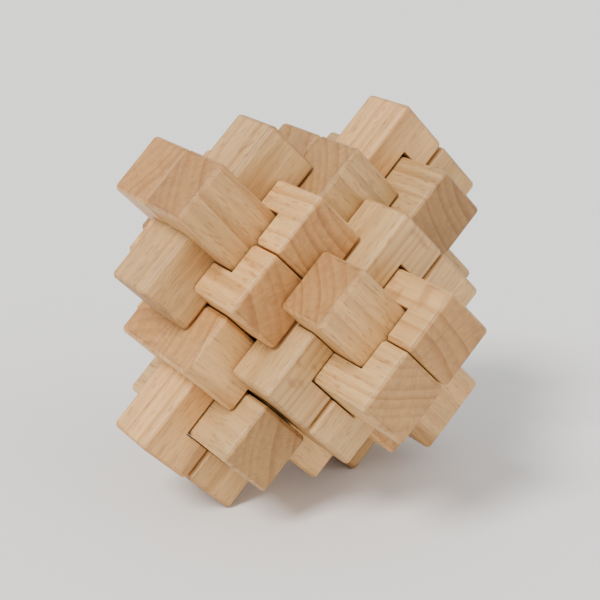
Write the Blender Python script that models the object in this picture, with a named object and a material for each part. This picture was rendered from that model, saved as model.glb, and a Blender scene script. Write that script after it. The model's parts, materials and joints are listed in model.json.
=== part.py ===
"""A wooden burr puzzle of twenty-four square bars, standing on two of its lower edges.

Every bar is square stock UNIT wide. The bars lie in three directions at right angles, named after
how they run when the puzzle stands: "falling" drops to the right, "level" runs from front to back,
and "rising" climbs to the right. Each direction has
  - two long bars side by side, which form the core where the three pairs cross,
  - four collars, short bars that wrap round the neighbouring pair of long bars, and
  - two plain locking bars, which slide through windows in the long bars and hold the collars on.

The long bars and the collars sit on a grid of half a UNIT, so places and notches are given in half
units. The locking bars lie a little further out than the grid, and the collars' ends just reach them.
In a bar's own axes x runs along it, the face at y = -1 looks at the puzzle's centre, and z runs across.
"""

import math

import bmesh
import bpy
from mathutils import Matrix, Vector

# Driving dimensions, in metres
UNIT = 0.012  # width of the square stock
GAP = 0.00015  # how far every face lies inside its grid line, so neighbours are twice this apart
CHAMFER = 0.0006  # width of the flat taken off every edge of a blank before it is notched

# Distances from the puzzle's centre to the centres of the bars, in half units
PAIR_OFFSET = 1  # the two bars of a pair, to either side of the centre
LAYER_OFFSET = 3  # collars, outside the pair that they wrap round
LOCK_OFFSET = 4.2  # locking bars, sunk two fifths of a UNIT in the collars

HALF = UNIT / 2
STOCK = UNIT - 2 * GAP
LONG_LENGTH = 6.3 * UNIT
COLLAR_LENGTH = (LOCK_OFFSET - 1) * UNIT - 2 * GAP
LOCK_LENGTH = 3 * UNIT - 2 * GAP

# The locking bar and the long bars' lower ends reach the floor together at this lean
LEAN = math.atan2((LONG_LENGTH - LOCK_LENGTH) / 2, (LOCK_OFFSET - PAIR_OFFSET) * HALF)

# Directions of the bars in the puzzle's own axes, each followed by the one that its rows are offset in
DIRECTIONS = ("falling", "level", "rising")
SIDES = {
    "falling": ("left", "right"),
    "level": ("front", "back"),
    "rising": ("lower", "upper"),
}

# Notches as (along, depth, across) ranges in half units; 1 and -1 are the faces of the bar
FULL = (-1, 1)
INNER = (-1, 0)
LOCK_NEAR = LOCK_OFFSET - 1
LOCK_FAR = LOCK_OFFSET + 1
WINDOWS = [((LOCK_NEAR, LOCK_FAR), INNER, FULL), ((-LOCK_FAR, -LOCK_NEAR), INNER, FULL)]
CORE_NOTCH = [((-2, 2), INNER, FULL)]
CROSS_NOTCHES = [((1, 2), INNER, FULL), ((-2, -1), INNER, FULL), ((-1, 1), FULL, (0, 1))]
COLLAR_NOTCHES = [((-2, 2), INNER, FULL), ((-1, 1), FULL, (LOCK_NEAR - LAYER_OFFSET, 1))]

WOOD = {"long_bar": (0.62, 0.41, 0.23), "collar": (0.70, 0.49, 0.29), "locking_bar": (0.55, 0.34, 0.18)}
WOOD_ROUGHNESS = 0.55


def clear_scene():
    for old in list(bpy.data.objects):
        bpy.data.objects.remove(old, do_unlink=True)


def box_mesh(name, low, high):
    """A closed box between two corners."""
    low, high = Vector(low), Vector(high)
    size = high - low
    bm = bmesh.new()
    bmesh.ops.create_cube(bm, size=1.0)
    bmesh.ops.scale(bm, vec=size, verts=bm.verts)
    bmesh.ops.translate(bm, vec=(low + high) / 2, verts=bm.verts)
    mesh = bpy.data.meshes.new(name)
    bm.to_mesh(mesh)
    bm.free()
    return mesh


def blank_mesh(name, length):
    """Square stock cut to length, with a small chamfer on all twelve edges."""
    corner = Vector((length, STOCK, STOCK)) / 2
    mesh = box_mesh(name, -corner, corner)
    bm = bmesh.new()
    bm.from_mesh(mesh)
    bmesh.ops.bevel(bm, geom=bm.edges[:], offset=CHAMFER, offset_type="OFFSET", segments=1, affect="EDGES")
    bm.to_mesh(mesh)
    bm.free()
    return mesh


def cut_range(low, high, is_along):
    """A notch's range in metres: past the bar where it reaches a face, and GAP wider elsewhere."""
    open_low = not is_along and low == -1
    open_high = not is_along and high == 1
    start = low * HALF - (HALF if open_low else GAP)
    end = high * HALF + (HALF if open_high else GAP)
    return start, end


def notched_mesh(name, length, notches):
    """A blank with its notches sawn out."""
    blank = bpy.data.objects.new(name + "_blank", blank_mesh(name, length))
    bpy.context.scene.collection.objects.link(blank)
    cutters = []
    for along, depth, across in notches:
        ranges = [cut_range(*along, True), cut_range(*depth, False), cut_range(*across, False)]
        low, high = zip(*ranges)
        cutter = bpy.data.objects.new(name + "_cutter", box_mesh(name + "_cutter", low, high))
        bpy.context.scene.collection.objects.link(cutter)
        cutters.append(cutter)
        cut = blank.modifiers.new("notch", "BOOLEAN")
        cut.operation = "DIFFERENCE"
        cut.solver = "EXACT"
        cut.object = cutter
    bpy.context.view_layer.update()
    evaluated = blank.evaluated_get(bpy.context.evaluated_depsgraph_get())
    mesh = bpy.data.meshes.new_from_object(evaluated)
    mesh.name = name
    for helper in [blank] + cutters:
        bpy.data.objects.remove(helper, do_unlink=True)
    return mesh


def wood_material(name, colour):
    material = bpy.data.materials.new(name)
    material.use_nodes = True
    shader = material.node_tree.nodes["Principled BSDF"]
    shader.inputs["Base Color"].default_value = (*colour, 1.0)
    shader.inputs["Roughness"].default_value = WOOD_ROUGHNESS
    shader.inputs["Metallic"].default_value = 0.0
    return material


def add_bar(name, kind, mesh, frame, location, rotation):
    """One bar as its own object, centred on its own length, under the leaning frame."""
    bar = bpy.data.objects.new(name, mesh)
    bpy.context.scene.collection.objects.link(bar)
    if not mesh.materials:
        mesh.materials.append(None)
    bar.material_slots[0].link = "OBJECT"
    bar.material_slots[0].material = wood_material(name + "_wood", WOOD[kind])
    bar.parent = frame
    bar.matrix_local = Matrix.Translation(location) @ rotation.to_4x4()
    return bar


def axis_vector(direction):
    vector = Vector((0, 0, 0))
    vector[DIRECTIONS.index(direction)] = 1
    return vector


def following(direction):
    """The next direction round, in which the rows of this direction's bars are offset."""
    return DIRECTIONS[(DIRECTIONS.index(direction) + 1) % 3]


def bar_rotation(direction, side, across_side):
    """Turns a bar's x, y, z onto its direction, away from the centre, and across."""
    outward = axis_vector(following(direction)) * side
    across = axis_vector(following(following(direction))) * across_side
    along = outward.cross(across)
    return Matrix((along, outward, across)).transposed()


def side_name(direction, side):
    return SIDES[direction][0 if side < 0 else 1]


def add_long_bars(frame, meshes):
    """A pair in each direction; the level pair crosses the others and is notched on its side as well."""
    for direction in DIRECTIONS:
        offset_in = following(direction)
        for side in (-1, 1):
            shape = "long_bar_cross" if direction == "level" else "long_bar_core"
            if direction == "rising" and side > 0:
                shape = "long_bar_key"
            name = f"long_bar_{direction}_{side_name(offset_in, side)}"
            location = axis_vector(offset_in) * side * PAIR_OFFSET * HALF
            rotation = bar_rotation(direction, side, 1)
            add_bar(name, "long_bar", meshes[shape], frame, location, rotation)


def add_collars(frame, meshes):
    """Four in each direction, two on each side of the pair of long bars that they wrap round."""
    for direction in DIRECTIONS:
        offset_in = following(direction)
        layer_in = following(offset_in)
        for side in (-1, 1):
            for layer in (-1, 1):
                name = f"collar_{direction}_{side_name(offset_in, side)}_{side_name(layer_in, layer)}"
                location = axis_vector(offset_in) * side * PAIR_OFFSET * HALF
                location += axis_vector(layer_in) * layer * LAYER_OFFSET * HALF
                rotation = bar_rotation(direction, side, layer)
                add_bar(name, "collar", meshes["collar"], frame, location, rotation)


def add_locking_bars(frame, meshes):
    """Two in each direction, each across a pair of collars and through a pair of long bars."""
    for direction in DIRECTIONS:
        offset_in = following(direction)
        for side in (-1, 1):
            name = f"locking_bar_{direction}_{side_name(offset_in, side)}"
            location = axis_vector(offset_in) * side * LOCK_OFFSET * HALF
            rotation = bar_rotation(direction, side, 1)
            add_bar(name, "locking_bar", meshes["locking_bar"], frame, location, rotation)


def stand_on_floor(frame):
    """Leans the puzzle and lifts it until its lowest edges touch the floor."""
    frame.rotation_euler = (0, LEAN, 0)
    bpy.context.view_layer.update()
    lowest = min((bar.matrix_world @ v.co).z for bar in frame.children for v in bar.data.vertices)
    frame.location.z = -lowest
    bpy.context.view_layer.update()


def main():
    clear_scene()
    meshes = {
        "long_bar_key": notched_mesh("long_bar_key", LONG_LENGTH, WINDOWS),
        "long_bar_core": notched_mesh("long_bar_core", LONG_LENGTH, WINDOWS + CORE_NOTCH),
        "long_bar_cross": notched_mesh("long_bar_cross", LONG_LENGTH, WINDOWS + CROSS_NOTCHES),
        "collar": notched_mesh("collar", COLLAR_LENGTH, COLLAR_NOTCHES),
        "locking_bar": blank_mesh("locking_bar", LOCK_LENGTH),
    }
    frame = bpy.data.objects.new("leaning_frame", None)
    bpy.context.scene.collection.objects.link(frame)
    add_long_bars(frame, meshes)
    add_collars(frame, meshes)
    add_locking_bars(frame, meshes)
    stand_on_floor(frame)


main()
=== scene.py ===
import json
import math
import random
from collections import namedtuple

import bmesh
import bpy
from mathutils import Matrix, Vector


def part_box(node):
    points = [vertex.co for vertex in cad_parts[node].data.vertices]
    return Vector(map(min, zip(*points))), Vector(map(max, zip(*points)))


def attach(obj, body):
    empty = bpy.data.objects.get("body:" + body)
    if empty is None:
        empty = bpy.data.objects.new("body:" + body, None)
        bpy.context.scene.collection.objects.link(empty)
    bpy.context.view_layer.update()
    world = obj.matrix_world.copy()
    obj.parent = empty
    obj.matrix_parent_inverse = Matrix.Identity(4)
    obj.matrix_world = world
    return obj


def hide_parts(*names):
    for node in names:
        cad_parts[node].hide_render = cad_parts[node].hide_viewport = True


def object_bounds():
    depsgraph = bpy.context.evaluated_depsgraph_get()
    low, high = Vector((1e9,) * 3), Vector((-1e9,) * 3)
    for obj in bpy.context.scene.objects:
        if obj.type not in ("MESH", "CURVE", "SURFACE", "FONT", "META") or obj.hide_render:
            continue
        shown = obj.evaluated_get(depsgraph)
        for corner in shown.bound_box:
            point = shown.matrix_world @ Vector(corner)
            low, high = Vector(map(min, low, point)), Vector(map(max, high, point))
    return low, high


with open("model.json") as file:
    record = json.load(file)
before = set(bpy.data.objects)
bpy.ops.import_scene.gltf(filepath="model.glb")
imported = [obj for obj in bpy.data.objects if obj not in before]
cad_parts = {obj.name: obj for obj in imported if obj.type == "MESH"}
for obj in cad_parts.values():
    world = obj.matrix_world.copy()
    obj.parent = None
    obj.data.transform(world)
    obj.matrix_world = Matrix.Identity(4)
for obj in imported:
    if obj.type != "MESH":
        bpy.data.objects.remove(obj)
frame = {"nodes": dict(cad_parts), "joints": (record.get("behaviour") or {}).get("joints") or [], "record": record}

# The burr puzzle in wood: a bar with softened edges and solid grain stands for each bar of the CAD model

CAD_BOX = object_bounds()
MM = 0.001
DIRECTIONS = ("falling", "level", "rising")

# Edges: the CAD bars have flat chamfers, softened here as sandpaper leaves them
EDGE_RADIUS = (0.15 * MM, 0.22 * MM)
EDGE_SEGMENTS = 3
ROUND_PROFILE = 0.5
MERGE_DISTANCE = 0.001 * MM
FLAT_ANGLE = math.radians(1)  # faces that meet at less than this become one
SHARP_ANGLE = math.radians(20)  # edges that fold by more than this are softened
SQUARE_ON = 0.99  # a face whose normal has this much of one axis is square to it
FACE_TOLERANCE = 0.05 * MM  # a face that lies further in than this is inside a notch

# Fit: a bar sits a little off its true place inside its 0.3 mm gaps, and a locking bar sinks in them
LOOSE_SHIFT = 0.05 * MM
LOOSE_TURN = math.radians(0.08)
SETTLING = 0.22 * MM

# Ends: what lies within END_ZONE of an end is moved inwards by up to END_TRIM, as sawn ends are uneven
END_ZONE = 1.2 * MM
END_TRIM = {"long_bar": 0.3 * MM, "collar": 0.12 * MM, "locking_bar": 0.15 * MM}

# Wood: each bar is sawn from its own place in the log, and has its own tone and warmth
EARLY_WOOD = (0.68, 0.408, 0.16)
LATE_WOOD = (0.43, 0.205, 0.06)
FLECK_WOOD = (0.30, 0.12, 0.04)
SAWN_WOOD = (0.66, 0.47, 0.31)
STAIN_TINT = (0.80, 0.70, 0.60)
END_GRAIN_TINT = (0.66, 0.56, 0.47)
RUBBED_TINT = (0.66, 0.56, 0.47)
TONE = {"long_bar": 0.98, "collar": 1.05, "locking_bar": 0.9}
TONE_RANGE = (0.82, 1.1)
WARMTH_RANGE = (0.95, 1.07)
SPECULAR_LEVEL = 0.4
WAX_WEIGHT = 0.08
WAX_ROUGHNESS = 0.35

# Growth rings: a year runs from 0 to 1, and its wood darkens to a late line, then is pale again at once
PITH_DISTANCE = (22 * MM, 60 * MM)
TRUNK_LEAN = 0.06  # the most that the pith leans away from the bar, as a slope
RING_WIDTH = (1.5 * MM, 2.6 * MM)
RING_DRIFT = 2.2  # how many rings good and bad years may shift the count by
LATE_DARKENS = (0.25, 0.93)
LATE_FADES = (1.0, 0.94)  # from high to low, so the late line is gone where the year ends
WEAKEST_YEAR = 0.25  # how strong the palest late line is next to the darkest

# Patterns of noise: scale is in repeats per metre, along the bar and then across it, and the pattern
# begins where the noise is `start` and is complete where it is `full`
Pattern = namedtuple("Pattern", "scale detail roughness start full", defaults=(2.0, 0.5, 0.0, 1.0))
NOISE_MIDDLE = (0.5, 0.5, 0.5)
WANDER = Pattern((22.0, 60.0, 60.0), detail=1.5)
WANDER_WIDTH = (0.0, 2.4 * MM, 2.4 * MM)  # how far the trunk wanders from side to side
GOOD_YEARS = Pattern((170.0, 0.0, 0.0), detail=1.0)  # out from the pith
FIBRES = Pattern((55.0, 900.0, 900.0), detail=4.0, roughness=0.62, start=0.25, full=0.75)
PORES = Pattern((230.0, 5200.0, 5200.0), roughness=0.6, start=0.56, full=0.7)
RAYS = Pattern((430.0, 3600.0, 95.0), detail=1.0, start=0.57, full=0.71)  # along, round, out from the pith
RAY_ARC = 40 * MM  # a turn of one radian round the pith counts as this length
STAIN = Pattern((9.0, 330.0, 330.0), start=0.55, full=0.75)
PATCHES = Pattern((30.0, 90.0, 90.0), start=0.3, full=0.7)
RUBBED = Pattern((170.0, 260.0, 260.0), detail=3.0, roughness=0.6, start=0.42, full=0.66)
SAW_LINES = Pattern((2600.0, 160.0, 160.0))
DENT_SCALE = (150.0, 210.0, 210.0)
DENT_SIZE = 0.16  # of the distance between dents
END_GRAIN_FACING = (0.45, 0.9)  # how squarely a face looks along the bar where end grain starts and is full

# What the features do to the colour, the roughness and the relief
FIBRE_TONE = (0.86, 1.1)  # from the darkest fibres to the brightest
PATCH_TONE = (0.93, 1.06)
COLOUR_SHARE = {"late": 0.7, "pores": 0.3, "stain": 0.5, "end_grain": 0.9, "sawn": 0.22, "rubbed": 0.55}
RAY_SHARE = 0.44  # of the flecks' colour, and less of it on the ends
RAY_SHARE_LOST_ON_ENDS = 0.22
BASE_ROUGHNESS = 0.4
ROUGHNESS_SHARE = {"fibres": 0.16, "late": -0.06, "end_grain": 0.12, "sawn": 0.16, "rubbed": -0.12}
RELIEF_SHARE = {
    "late": 0.25,
    "fibres": 0.55,
    "pores": -0.35,
    "rays": -0.15,
    "dents": -0.5,
    "saw_marks": 1.4,
}
RELIEF_DEPTH = 0.09 * MM
RELIEF_STRENGTH = 0.5

# Studio: in degrees, with azimuth 0 at the front and -90 at the left; softness is how wide a sun looks
FLOOR_SIZE = 60.0
FLOOR_COLOUR = (0.84, 0.835, 0.82)
FLOOR_ROUGHNESS = 0.9
KEY_SUN = {"azimuth": -75, "elevation": 50, "strength": 3.4, "softness": 20, "colour": (1.0, 0.97, 0.93)}
FILL_SUN = {"azimuth": 35, "elevation": 30, "strength": 0.7, "softness": 60, "colour": (0.95, 0.97, 1.0)}
SKY_COLOUR = (0.93, 0.94, 0.95)
SKY_STRENGTH = 0.9

# Camera: looks at the middle of the puzzle
VIEW_AZIMUTH = -32.7
VIEW_ELEVATION = 20.6
VIEW_DISTANCE = 0.241
LENS = 80.0
SENSOR = 36.0
CLIP_START = 0.01
CLIP_END = 50.0


# ---------------------------------------------------------------- bars

def direction_of(name):
    return next(d for d in DIRECTIONS if d in name)


def bar_directions():
    """The three directions of the bars, a right-handed set, read from the slide joints."""
    axes = {direction_of(joint["child"]): Vector(joint["axis"]).normalized() for joint in frame["joints"]}
    axes["rising"] = axes["falling"].cross(axes["level"])
    return axes


def bar_frame(node, axes):
    """The bar's own frame, with x along it and the origin at its middle, and half its sizes there."""
    start = DIRECTIONS.index(direction_of(node))
    columns = [axes[DIRECTIONS[(start + k) % 3]] for k in range(3)]
    turn = Matrix(columns).transposed()
    inverse = turn.transposed()
    points = [inverse @ v.co for v in frame["nodes"][node].data.vertices]
    low = Vector(min(p[k] for p in points) for k in range(3))
    high = Vector(max(p[k] for p in points) for k in range(3))
    middle = turn @ ((low + high) / 2)
    return Matrix.Translation(middle) @ turn.to_4x4(), (high - low) / 2


def is_sawn(face, half):
    """True for a face inside a notch, False for one on the outside of the bar."""
    centre = face.calc_center_median()
    return any(
        abs(face.normal[k]) > SQUARE_ON and abs(abs(centre[k]) - half[k]) > FACE_TOLERANCE for k in range(3)
    )


def softened_mesh(node, place, half, trims, radius):
    """The CAD bar in its own frame with rounded edges, and its notch and edge faces marked."""
    bm = bmesh.new()
    bm.from_mesh(frame["nodes"][node].data)
    bm.transform(place.inverted())
    bmesh.ops.remove_doubles(bm, verts=bm.verts[:], dist=MERGE_DISTANCE)
    bmesh.ops.dissolve_limit(bm, angle_limit=FLAT_ANGLE, verts=bm.verts[:], edges=bm.edges[:])
    sawn = bm.faces.layers.float.new("sawn")
    edge = bm.faces.layers.float.new("edge")
    bm.normal_update()
    for face in bm.faces:
        face[sawn] = float(is_sawn(face, half))
    for vert in bm.verts:
        for side, trim in zip((-1, 1), trims):
            if vert.co.x * side > half.x - END_ZONE:
                vert.co.x -= side * trim
    sharp = [e for e in bm.edges if e.is_manifold and e.calc_face_angle() > SHARP_ANGLE]
    made = bmesh.ops.bevel(
        bm,
        geom=sharp,
        offset=radius,
        offset_type="OFFSET",
        segments=EDGE_SEGMENTS,
        profile=ROUND_PROFILE,
        affect="EDGES",
        clamp_overlap=True,
        loop_slide=True,
    )
    for face in made["faces"]:
        face[edge] = 1.0
    for face in bm.faces:
        face.smooth = True
    mesh = bpy.data.meshes.new(node + "_wood")
    bm.to_mesh(mesh)
    bm.free()
    return mesh


def add_bar(node, kind, body, axes, rng):
    """A softened bar that stands for its CAD node, a hair short at each end and off its true place."""
    place, half = bar_frame(node, axes)
    trims = [rng.uniform(0, END_TRIM[kind]) for _ in range(2)]
    mesh = softened_mesh(node, place, half, trims, rng.uniform(*EDGE_RADIUS))
    bar = bpy.data.objects.new(node + "_wood", mesh)
    bpy.context.scene.collection.objects.link(bar)
    shift = Vector(rng.uniform(-1, 1) for _ in range(3)) * LOOSE_SHIFT
    turn = Matrix.Rotation(rng.uniform(-LOOSE_TURN, LOOSE_TURN), 4, Vector((0, 1, 0)))
    turn = turn @ Matrix.Rotation(rng.uniform(-LOOSE_TURN, LOOSE_TURN), 4, Vector((0, 0, 1)))
    stands_on_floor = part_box(node)[0].z < CAD_BOX[0].z + SETTLING
    sinks = SETTLING if kind == "locking_bar" and not stands_on_floor else 0.0
    bar.matrix_world = Matrix.Translation((0, 0, -sinks)) @ place @ Matrix.Translation(shift) @ turn
    normals = bar.modifiers.new("face_weighted_normals", "WEIGHTED_NORMAL")
    normals.keep_sharp = False
    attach(bar, body)
    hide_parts(node)
    return bar


# ---------------------------------------------------------------- wood

class Graph:
    """Adds nodes to a tree and links them."""

    # A Mix node has sockets for numbers and vectors too; these are the ones for colours
    MIX_FACTOR, MIX_FIRST, MIX_SECOND, MIX_RESULT = 0, 6, 7, 2

    def __init__(self, tree):
        self.tree = tree

    def fill(self, socket, value):
        """Links a socket to another or gives it a value; None leaves it alone."""
        if isinstance(value, bpy.types.NodeSocket):
            self.tree.links.new(value, socket)
        elif value is not None:
            socket.default_value = value

    def add(self, kind, *values, **settings):
        """A node with its settings, and its inputs filled in order."""
        node = self.tree.nodes.new(kind)
        for key, value in settings.items():
            setattr(node, key, value)
        for socket, value in zip(node.inputs, values):
            self.fill(socket, value)
        return node

    def math(self, operation, *values, clamp=False):
        return self.add("ShaderNodeMath", *values, operation=operation, use_clamp=clamp).outputs[0]

    def vector(self, operation, *values):
        return self.add("ShaderNodeVectorMath", *values, operation=operation).outputs[0]

    def combine(self, x, y, z):
        return self.add("ShaderNodeCombineXYZ", x, y, z).outputs[0]

    def split(self, vector):
        return self.add("ShaderNodeSeparateXYZ", vector).outputs

    def attribute(self, name):
        return self.add("ShaderNodeAttribute", attribute_name=name).outputs["Fac"]

    def noise(self, point, pattern):
        """A pattern's noise, as a number first and then as a colour."""
        node = self.add("ShaderNodeTexNoise")
        self.fill(node.inputs["Vector"], self.vector("MULTIPLY", point, pattern.scale))
        self.fill(node.inputs["Scale"], 1.0)
        self.fill(node.inputs["Detail"], pattern.detail)
        self.fill(node.inputs["Roughness"], pattern.roughness)
        return node.outputs

    def spots(self, point, pattern):
        """Where a pattern shows, from 0 to 1."""
        return self.smooth(self.noise(point, pattern)[0], pattern.start, pattern.full)

    def smooth(self, value, low, high, start=0.0, end=1.0):
        """Goes smoothly from start to end as the value goes from low to high."""
        node = self.add("ShaderNodeMapRange", value, low, high, start, end)
        node.interpolation_type = "SMOOTHSTEP"
        return node.outputs[0]

    def blend(self, mode, factor, first, second):
        node = self.add("ShaderNodeMix", data_type="RGBA", blend_type=mode)
        self.fill(node.inputs[self.MIX_FACTOR], factor)
        self.fill(node.inputs[self.MIX_FIRST], first)
        self.fill(node.inputs[self.MIX_SECOND], second)
        return node.outputs[self.MIX_RESULT]

    def brighten(self, colour, tone):
        """A colour times a tone, which is a number."""
        return self.blend("MULTIPLY", 1.0, colour, self.combine(tone, tone, tone))


def rgba(colour, tone=1.0):
    return (*[c * tone for c in colour], 1.0)


def place_in_log(g, point, seeded, given):
    """A point's place in the log: along it, the angle round its pith, and the distance from the pith."""
    # the trunk wanders a little, so its rings do
    wander = g.vector("SUBTRACT", g.noise(seeded, WANDER)["Color"], NOISE_MIDDLE)
    bent = g.split(g.vector("ADD", point, g.vector("MULTIPLY", wander, WANDER_WIDTH)))
    pith = g.split(given["Pith"])
    lean = g.math("MULTIPLY", bent[0], given["Lean"])
    from_pith_y = g.math("SUBTRACT", g.math("SUBTRACT", bent[1], pith[1]), lean)
    from_pith_z = g.math("SUBTRACT", bent[2], pith[2])
    squares = [g.math("POWER", side, 2.0) for side in (from_pith_y, from_pith_z)]
    radius = g.math("SQRT", g.math("ADD", *squares))
    angle = g.math("ARCTAN2", from_pith_z, from_pith_y)
    return bent[0], angle, radius


def late_wood(g, radius, ring_width):
    """Growth rings: pale early wood that darkens to a thin late line, some years stronger than others."""
    good_years = g.noise(g.combine(radius, 0.0, 0.0), GOOD_YEARS)[0]
    rings = g.math("MULTIPLY_ADD", good_years, RING_DRIFT, g.math("DIVIDE", radius, ring_width))
    year = g.math("FLOOR", rings)
    season = g.math("FRACT", rings)
    strength = g.add("ShaderNodeTexWhiteNoise", None, year, noise_dimensions="1D").outputs[0]
    strength = g.math("MULTIPLY_ADD", strength, 1.0 - WEAKEST_YEAR, WEAKEST_YEAR)
    late = g.math("MULTIPLY", g.smooth(season, *LATE_DARKENS), g.smooth(season, *LATE_FADES))
    return g.math("MULTIPLY", late, strength)


def dents(g, seeded):
    """Small round dents, 1 in the middle of each."""
    cells = g.add("ShaderNodeTexVoronoi", feature="SMOOTH_F1")
    g.fill(cells.inputs["Vector"], g.vector("MULTIPLY", seeded, DENT_SCALE))
    g.fill(cells.inputs["Scale"], 1.0)
    return g.smooth(cells.outputs["Distance"], 0.0, DENT_SIZE, 1.0, 0.0)


def wood_features(g, given):
    """Each feature of the wood by name, as a number from 0, where it is absent, to 1."""
    coords = g.add("ShaderNodeTexCoord").outputs

    # most noise is read at a point moved by the bar's seed, so no two bars look alike
    seeded = g.vector("ADD", coords["Object"], given["Seed"])
    along, angle, radius = place_in_log(g, coords["Object"], seeded, given)

    # rays run out from the pith: short dashes on one face, broad flecks on the next, lines on the end
    around = g.math("MULTIPLY", angle, RAY_ARC)
    ray_point = g.vector("ADD", g.combine(along, around, radius), given["Seed"])
    facing_along = g.math("ABSOLUTE", g.split(coords["Normal"])[0])
    sawn = g.attribute("sawn")
    return {
        "late": late_wood(g, radius, given["Ring Width"]),
        "fibres": g.noise(seeded, FIBRES)[0],
        "pores": g.spots(seeded, PORES),
        "rays": g.spots(ray_point, RAYS),
        "stain": g.spots(seeded, STAIN),
        "patches": g.noise(seeded, PATCHES)[0],
        "end_grain": g.smooth(facing_along, *END_GRAIN_FACING),
        "sawn": sawn,
        "rubbed": g.math("MULTIPLY", g.spots(seeded, RUBBED), g.attribute("edge")),
        "dents": dents(g, seeded),
        "saw_marks": g.math("MULTIPLY", g.noise(seeded, SAW_LINES)[0], sawn),
    }


def wood_colour(g, wood, given):
    """Early and late wood, then fibres, rays, pores, patches, stains, ends, cuts and rubbed edges."""
    share = {name: g.math("MULTIPLY", wood[name], amount) for name, amount in COLOUR_SHARE.items()}
    fibre_tone = g.smooth(wood["fibres"], FIBRES.start, FIBRES.full, *FIBRE_TONE)
    patch_tone = g.smooth(wood["patches"], PATCHES.start, PATCHES.full, *PATCH_TONE)
    ray_share = g.math("MULTIPLY_ADD", wood["end_grain"], -RAY_SHARE_LOST_ON_ENDS, RAY_SHARE)
    colour = g.blend("MIX", share["late"], given["Early"], given["Late"])
    colour = g.brighten(colour, fibre_tone)
    colour = g.blend("MIX", g.math("MULTIPLY", wood["rays"], ray_share), colour, given["Fleck"])
    colour = g.blend("MIX", share["pores"], colour, given["Fleck"])
    colour = g.brighten(colour, patch_tone)
    colour = g.blend("MULTIPLY", share["stain"], colour, rgba(STAIN_TINT))
    colour = g.blend("MULTIPLY", share["end_grain"], colour, rgba(END_GRAIN_TINT))
    colour = g.blend("MIX", share["sawn"], colour, rgba(SAWN_WOOD))
    return g.blend("MULTIPLY", share["rubbed"], colour, rgba(RUBBED_TINT))


def weighted_sum(g, wood, shares, base):
    """A base number plus each feature times its share."""
    total = base
    for name, share in shares.items():
        total = g.math("MULTIPLY_ADD", wood[name], share, total)
    return total


def wood_normal(g, wood):
    """Fibres and late wood stand proud; pores, rays and dents are sunk, and saw lines cross the notches."""
    bump = g.add("ShaderNodeBump")
    g.fill(bump.inputs["Strength"], RELIEF_STRENGTH)
    g.fill(bump.inputs["Distance"], RELIEF_DEPTH)
    g.fill(bump.inputs["Height"], weighted_sum(g, wood, RELIEF_SHARE, 0.0))
    return bump.outputs[0]


def wood_group():
    """Solid wood in a bar's own frame: rings, fibres, rays, end grain, sawn notches and wear."""
    tree = bpy.data.node_groups.new("solid_wood", "ShaderNodeTree")
    for name in ("Pith", "Seed"):
        tree.interface.new_socket(name, in_out="INPUT", socket_type="NodeSocketVector")
    for name in ("Lean", "Ring Width"):
        tree.interface.new_socket(name, in_out="INPUT", socket_type="NodeSocketFloat")
    for name in ("Early", "Late", "Fleck"):
        tree.interface.new_socket(name, in_out="INPUT", socket_type="NodeSocketColor")
    for name, kind in (("Color", "Color"), ("Roughness", "Float"), ("Normal", "Vector")):
        tree.interface.new_socket(name, in_out="OUTPUT", socket_type="NodeSocket" + kind)
    g = Graph(tree)
    given = tree.nodes.new("NodeGroupInput").outputs
    wood = wood_features(g, given)
    made = tree.nodes.new("NodeGroupOutput").inputs
    g.fill(made["Color"], wood_colour(g, wood, given))
    g.fill(made["Roughness"], weighted_sum(g, wood, ROUGHNESS_SHARE, BASE_ROUGHNESS))
    g.fill(made["Normal"], wood_normal(g, wood))
    return tree


def wood_material(name, kind, group, rng):
    """One bar's wood: the shared grain, cut from its own place in the log and a shade of its own."""
    material = bpy.data.materials.new(name)
    material.use_nodes = True
    tree = material.node_tree
    shader = tree.nodes["Principled BSDF"]
    grain = tree.nodes.new("ShaderNodeGroup")
    grain.node_tree = group
    turn = rng.uniform(0, 2 * math.pi)
    distance = rng.uniform(*PITH_DISTANCE)
    tone = TONE[kind] * rng.uniform(*TONE_RANGE)
    warmth = rng.uniform(*WARMTH_RANGE)
    grain.inputs["Pith"].default_value = (0.0, distance * math.cos(turn), distance * math.sin(turn))
    grain.inputs["Lean"].default_value = rng.uniform(-TRUNK_LEAN, TRUNK_LEAN)
    grain.inputs["Ring Width"].default_value = rng.uniform(*RING_WIDTH)
    grain.inputs["Seed"].default_value = [rng.uniform(-1, 1) for _ in range(3)]
    for socket, wood in (("Early", EARLY_WOOD), ("Late", LATE_WOOD), ("Fleck", FLECK_WOOD)):
        red, green, blue = wood
        grain.inputs[socket].default_value = rgba((red * warmth, green, blue / warmth), tone)
    tree.links.new(grain.outputs["Color"], shader.inputs["Base Color"])
    tree.links.new(grain.outputs["Roughness"], shader.inputs["Roughness"])
    tree.links.new(grain.outputs["Normal"], shader.inputs["Normal"])
    shader.inputs["Specular IOR Level"].default_value = SPECULAR_LEVEL
    shader.inputs["Coat Weight"].default_value = WAX_WEIGHT
    shader.inputs["Coat Roughness"].default_value = WAX_ROUGHNESS
    return material


# ---------------------------------------------------------------- studio

def floor_material():
    material = bpy.data.materials.new("floor_paper")
    material.use_nodes = True
    shader = material.node_tree.nodes["Principled BSDF"]
    shader.inputs["Base Color"].default_value = rgba(FLOOR_COLOUR)
    shader.inputs["Roughness"].default_value = FLOOR_ROUGHNESS
    return material


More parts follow.
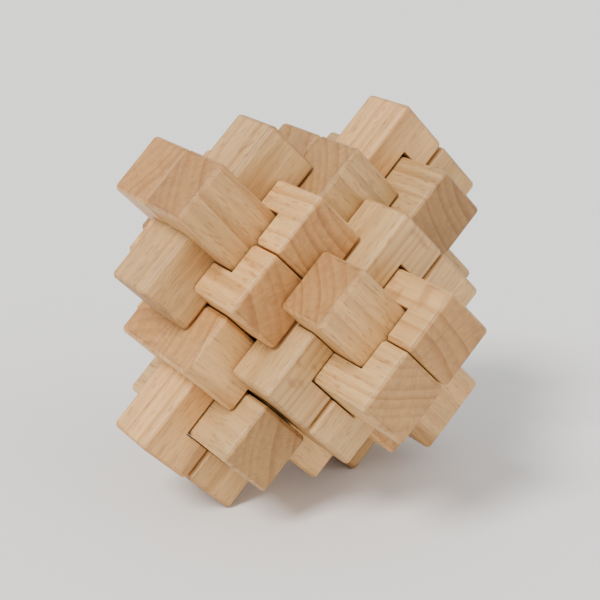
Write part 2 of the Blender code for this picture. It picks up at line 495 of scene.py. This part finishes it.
def add_floor():
    bpy.ops.mesh.primitive_plane_add(size=FLOOR_SIZE, location=(0, 0, CAD_BOX[0].z))
    floor = bpy.context.object
    floor.name = "floor"
    floor.data.materials.append(floor_material())


def add_sun(name, azimuth, elevation, strength, softness, colour):
    """A soft light from far off, so the floor is lit evenly."""
    light = bpy.data.lights.new(name, "SUN")
    light.energy = strength
    light.angle = math.radians(softness)
    light.color = colour
    lamp = bpy.data.objects.new(name, light)
    lamp.rotation_euler = (math.radians(90 - elevation), 0, math.radians(azimuth))
    bpy.context.scene.collection.objects.link(lamp)


def add_sky():
    world = bpy.data.worlds.new("studio")
    bpy.context.scene.world = world
    world.use_nodes = True
    background = world.node_tree.nodes["Background"]
    background.inputs["Color"].default_value = rgba(SKY_COLOUR)
    background.inputs["Strength"].default_value = SKY_STRENGTH


def add_camera():
    azimuth, elevation = math.radians(VIEW_AZIMUTH), math.radians(VIEW_ELEVATION)
    away = Vector((
        math.sin(azimuth) * math.cos(elevation),
        -math.cos(azimuth) * math.cos(elevation),
        math.sin(elevation),
    ))
    data = bpy.data.cameras.new("camera")
    data.lens = LENS
    data.sensor_width = SENSOR
    data.clip_start = CLIP_START
    data.clip_end = CLIP_END
    camera = bpy.data.objects.new("camera", data)
    camera.location = (CAD_BOX[0] + CAD_BOX[1]) / 2 + away * VIEW_DISTANCE
    camera.rotation_euler = (-away).to_track_quat("-Z", "Y").to_euler()
    bpy.context.scene.collection.objects.link(camera)
    bpy.context.scene.camera = camera


# ---------------------------------------------------------------- the scene

def add_bars():
    """Every bar with its own wood; its random draws come from its name, so they are always the same."""
    axes = bar_directions()
    group = wood_group()
    for body, nodes in frame["record"]["behaviour"]["bodies"].items():
        for node in sorted(nodes):
            rng = random.Random(node)
            kind = next(k for k in TONE if node.startswith(k))
            bar = add_bar(node, kind, body, axes, rng)
            bar.data.materials.append(wood_material(node + "_grain", kind, group, rng))


def main():
    add_bars()
    add_floor()
    add_sun("key", **KEY_SUN)
    add_sun("fill", **FILL_SUN)
    add_sky()
    add_camera()


main()
